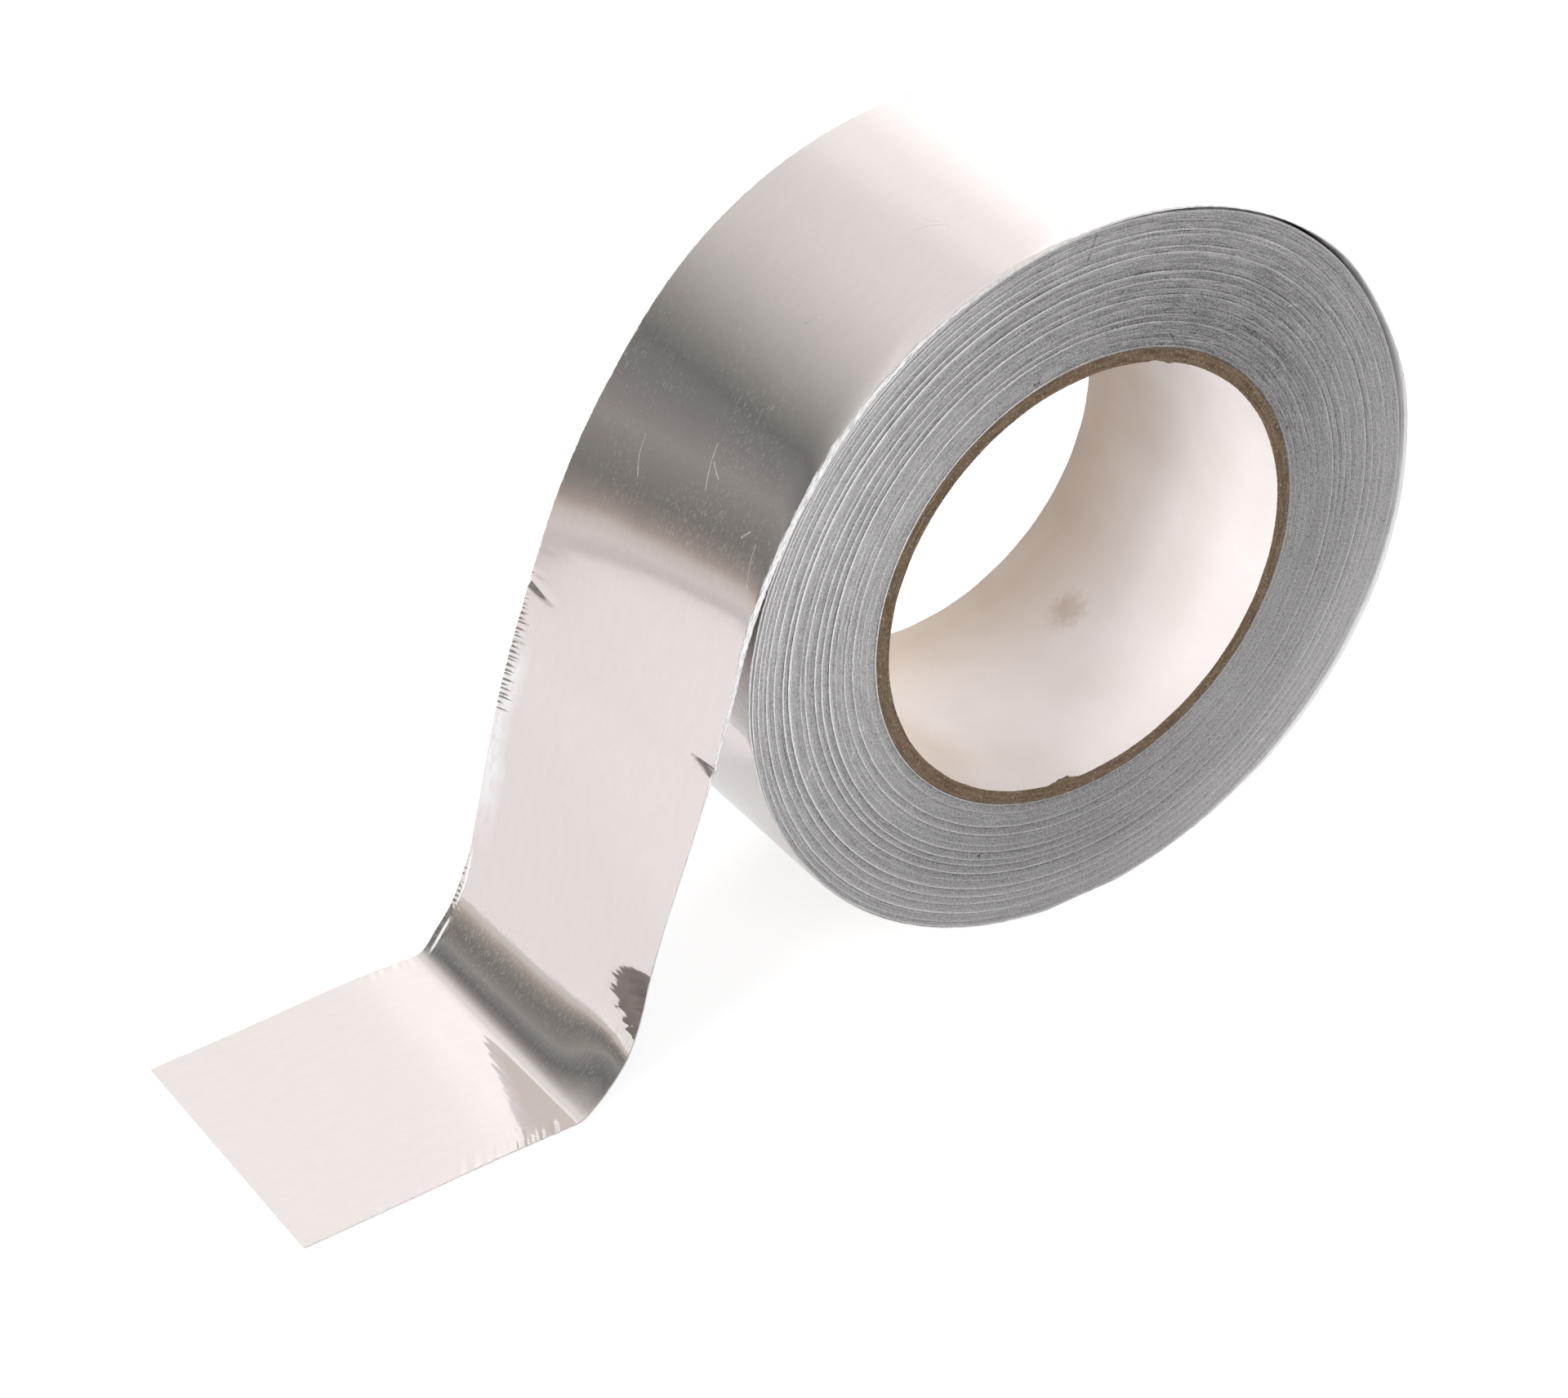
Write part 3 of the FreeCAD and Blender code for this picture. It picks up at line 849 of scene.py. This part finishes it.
# ---- the cardboard core
def core_tube():
    """Cardboard tube with slightly uneven cut ends. The near one has a torn, turned-up bit at the
    bottom."""
    angles = np.arange(0, 360, TURN_STEP)
    wall = np.linspace(0, 1, 9)
    end = HALF_WIDTH - CORE_INSET
    across = np.linspace(-end, end, 30)[1:-1]
    share = np.concatenate([wall, np.ones(len(across)), wall[::-1], np.zeros(len(across))])
    y = np.concatenate([np.full(len(wall), -end), across, np.full(len(wall), end), across[::-1]])
    share, y = (np.broadcast_to(row, (len(angles), len(row))) for row in (share, y))
    turn = angles[:, None] * OUTER_RADIUS / 60      # nearly degrees, for the ripples
    near_end = lip(y + HALF_WIDTH, 1.6, 1)
    ends = near_end + lip(HALF_WIDTH - y, 1.6, 1)
    torn = angle_bump(angles, 263.5, 5.2)[:, None] * (1 + 0.25 * ripple(turn, 1.6, 22))
    dents = 0.25 * bump(angles, 71, 2.5)[:, None] - 0.3 * bump(angles, 66.5, 2.0)[:, None]
    worn = 0.10 + 0.04 * ripple(turn, 22.0, 20) + 0.03 * ripple(turn, 1.8, 21) + dents
    inner = CORE_BORE + (np.clip(worn, -0.3, 0.6) * ends - torn * near_end) * (1 - share)
    r = inner * (1 - share) + CORE_OUTSIDE * share
    inside_wall = (share > 0) * (share < 1)
    y = y + 0.08 * ripple(turn + 3 * share, 1.7, 23) * inside_wall * np.sign(-y)
    cut, bore = np.zeros(2 * len(wall) + len(across) - 1, int), np.ones(len(across) + 1, int)
    return loft("core_tube", ring_sections(angles, r, y), True, ring_uv(angles, r, y),
                [KRAFT, LINING], np.concatenate([cut, bore]), {})


turns = wound_turns()
outer = outer_turn()
tube = core_tube()
for piece, node, slot in ((turns, "foil_tape", "foil"), (outer, "foil_tape", "foil"),
                          (tube, "core", "cardboard")):
    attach(piece, "root")
    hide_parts(node)


# ---- floor and surroundings, in metres
TABLE = -TABLE_DEPTH * MM     # height of the table's top
HAIR = 0.0002                 # keeps surfaces apart that would coincide
HALF_FLOOR = 6.0
BRIGHT = 1.5                  # strength of the brightest part of the wall
WALL_LOW, WALL_SPAN = -5.0, 55.0        # lowest height and span of the wall's colours, in degrees
# Colours of the dark wall, by degrees of height seen from the middle of the roll.
WALL_STOPS = ((-4.9, (0.93, 0.93, 0.93)), (-4.0, (0.70, 0.695, 0.69)), (-3.3, (0.71, 0.70, 0.695)),
              (-2.2, (0.78, 0.77, 0.755)), (-0.3, (0.70, 0.67, 0.635)), (1.3, (0.46, 0.42, 0.38)),
              (3.2, (0.315, 0.305, 0.285)), (5.6, (0.24, 0.24, 0.225)), (9, (0.29, 0.285, 0.27)),
              (12.5, (0.36, 0.355, 0.34)), (16, (0.27, 0.27, 0.265)), (20.5, (0.20, 0.205, 0.20)),
              (25.5, (0.315, 0.315, 0.30)), (33, (0.54, 0.54, 0.525)), (40.8, (0.78, 0.775, 0.76)),
              (46, (0.94, 0.935, 0.93)))
WALL_FOOT, WALL_RADIUS = 0.72, 2.0      # radii where it starts on the table and where it rises
WALL_TOP, WALL_SIDES = 3.8, 96
PANEL_START = 0.14            # radius where the bright panel starts
PANEL_ANGLES = range(28, 63, 5)         # degrees from +Y towards +X
# Name, azimuth from +Y towards -X, elevation, distance, side of the square and power.
LAMPS = (("lamp_back_right", -48, 16, 1.1, 0.9, 11.0), ("lamp_left", 106, 14, 0.7, 0.2, 2.2),
         ("lamp_front", 147, 40, 1.5, 1.0, 6.5))


def studio_mesh(name, points, faces, material):
    mesh = bpy.data.meshes.new(name)
    mesh.from_pydata(points, [], faces)
    mesh.materials.append(material)
    return linked(name, mesh)


def floor_material():
    """Matt pale floor with the object's shadow. What makes it white is seen by the camera, and
    less of it by polished metal; it doesn't light the object."""
    material, n, shader = new_material("floor_white", (0.8, 0.8, 0.8))
    shader.inputs["Base Color"].default_value = (0.62, 0.62, 0.62, 1)
    shader.inputs["Roughness"].default_value = 1.0
    shader.inputs["Specular IOR Level"].default_value = 0.0
    shader.inputs["Emission Color"].default_value = (1, 1, 1, 1)
    place = n.add("ShaderNodeTexCoord").outputs["Object"]
    away = n.vector("LENGTH", n.vector("MULTIPLY", place, (1, 1, 0)))
    path = n.add("ShaderNodeLightPath").outputs
    mirrored = n.most(path["Is Glossy Ray"], path["Is Transmission Ray"])
    white = n.plus(n.times(path["Is Camera Ray"], n.range(away, 0.6, 3.0, 0.64, 1.0)),
                   n.times(mirrored, n.range(away, 0.2, 0.6, 0.42, 0.52)))
    n.put(shader, "Emission Strength", white)
    return material


def studio_floor():
    """Square floor just under the object."""
    corners = [(x * HALF_FLOOR, y * HALF_FLOOR, TABLE - HAIR)
               for x, y in ((-1, -1), (1, -1), (1, 1), (-1, 1))]
    plane = studio_mesh("floor", corners, [(0, 1, 2, 3)], floor_material())


def reflected_only(name, points, faces, material):
    """Part of the studio that only polished metal sees."""
    part = studio_mesh(name, points, faces, material)
    part.visible_camera = part.visible_diffuse = part.visible_shadow = False
    part.visible_transmission = part.visible_volume_scatter = False


def wall_material():
    """Glowing wall that only polished metal sees: dark, paler at its foot and its top, with windows
    left open.
    """
    material = bpy.data.materials.new("studio_wall")
    material.use_nodes = True
    n = Nodes(material.node_tree)
    place = n.add("ShaderNodeTexCoord").outputs["Object"]
    x, y, z = n.split(place)
    ground = n.vector("LENGTH", n.vector("MULTIPLY", place, (1, 1, 0)))
    height = n.math("DEGREES", n.math("ARCTAN2", z, ground))
    turn = n.math("DEGREES", n.math("ARCTAN2", n.times(x, -1.0), y))     # from +Y towards -X
    share = n.math("DIVIDE", n.minus(height, WALL_LOW), WALL_SPAN)
    ramp = n.add("ShaderNodeValToRGB", {"Fac": share})
    elements = ramp.color_ramp.elements
    while len(elements) < len(WALL_STOPS):
        elements.new(0.5)
    for element, (degrees, colour) in zip(elements, WALL_STOPS):
        element.position = (degrees - WALL_LOW) / WALL_SPAN
        element.color = (*(value / BRIGHT for value in colour), 1)
    dark = n.band(turn, -14, 6, 100, 122, smooth=True)
    left = n.band(turn, 128, 144, 155, 175, smooth=True)
    right = n.band(turn, -165, -145, -115, -90, smooth=True)
    dark = n.most(dark, n.times(n.most(left, right), 0.85))
    window = n.times(n.range(turn, -38, -21, 1.5, 1.14, smooth=True),
                     n.range(turn, -21, -5, 1.0, 0.86, smooth=True),
                     n.range(turn, -62, -75, 1.0, 0.75))
    level = n.math("DIVIDE", window, BRIGHT)
    colour = n.mix(dark, n.colour(level, level, level), ramp.outputs["Color"])
    emission = n.add("ShaderNodeEmission", {"Color": colour, "Strength": BRIGHT})
    n.add("ShaderNodeOutputMaterial", {"Surface": emission.outputs[0]})
    return material


def studio_wall():
    """Glowing ring wall, and a glowing panel on the table behind the roll."""
    material = wall_material()
    profile = [(WALL_FOOT, TABLE + HAIR), (WALL_RADIUS - 0.05, TABLE + 0.001)]
    profile += [(WALL_RADIUS, z) for z in np.linspace(TABLE + 0.02, WALL_TOP, 12)]
    turns = [2 * math.pi * k / WALL_SIDES for k in range(WALL_SIDES)]
    points = [(r * math.cos(turn), r * math.sin(turn), z) for r, z in profile for turn in turns]
    faces = []
    for row in range(0, (len(profile) - 1) * WALL_SIDES, WALL_SIDES):
        for k in range(WALL_SIDES):
            after = (k + 1) % WALL_SIDES
            faces.append((row + k, row + after, row + WALL_SIDES + after, row + WALL_SIDES + k))
    reflected_only("studio_wall", points, faces, material)
    angles = [math.radians(degrees) for degrees in PANEL_ANGLES]
    points = [(r * math.sin(a), r * math.cos(a), TABLE + HAIR)
              for r in (PANEL_START, WALL_FOOT) for a in angles]
    count = len(angles)
    faces = [(k, k + 1, count + k + 1, count + k) for k in range(count - 1)]
    reflected_only("studio_panel", points, faces, material)


def area_lamp(name, azimuth, elevation, distance, size, power):
    """Soft square lamp that faces the roll and isn't seen."""
    a, e = math.radians(azimuth), math.radians(elevation)
    data = bpy.data.lights.new(name, "AREA")
    data.shape = "RECTANGLE"
    data.size = data.size_y = size
    data.energy = power
    lamp = linked(name, data)
    way = (-math.sin(a) * math.cos(e), math.cos(a) * math.cos(e), math.sin(e))
    lamp.location = Vector(way) * distance
    lamp.rotation_euler = (-lamp.location).to_track_quat("-Z", "Y").to_euler()
    lamp.visible_camera = lamp.visible_glossy = False


def studio_world():
    """White to the camera and polished metal, and a plain light on the object."""
    world = bpy.data.worlds.new("studio")
    bpy.context.scene.world = world
    world.use_nodes = True
    n = Nodes(world.node_tree)
    path = n.add("ShaderNodeLightPath").outputs
    seen = n.math("ADD", path["Is Camera Ray"], path["Is Glossy Ray"],
                  path["Is Transmission Ray"], clamp=True)
    strength = n.range(seen, 0, 1, 0.35, 1.0)
    background = n.add("ShaderNodeBackground", {"Color": (1, 1, 1, 1), "Strength": strength})
    n.add("ShaderNodeOutputWorld", {"Surface": background.outputs[0]})


studio_floor()
studio_wall()
for lamp in LAMPS:
    area_lamp(*lamp)
studio_world()

# ---- camera and view
camera_data = bpy.data.cameras.new("camera")
camera_data.sensor_fit = "HORIZONTAL"
camera_data.sensor_width = 36.0
camera_data.lens = 103.9033
camera_data.clip_start = 0.01
camera_data.clip_end = 50.0
camera = linked("camera", camera_data)
camera.location = (-0.357129, -0.492690, 0.408611)
camera.rotation_euler = Euler([math.radians(d) for d in (53.7382, 1.5087, -33.7577)], "XYZ")
bpy.context.scene.camera = camera
bpy.context.scene.view_settings.view_transform = "Standard"

bpy.context.view_layer.update()
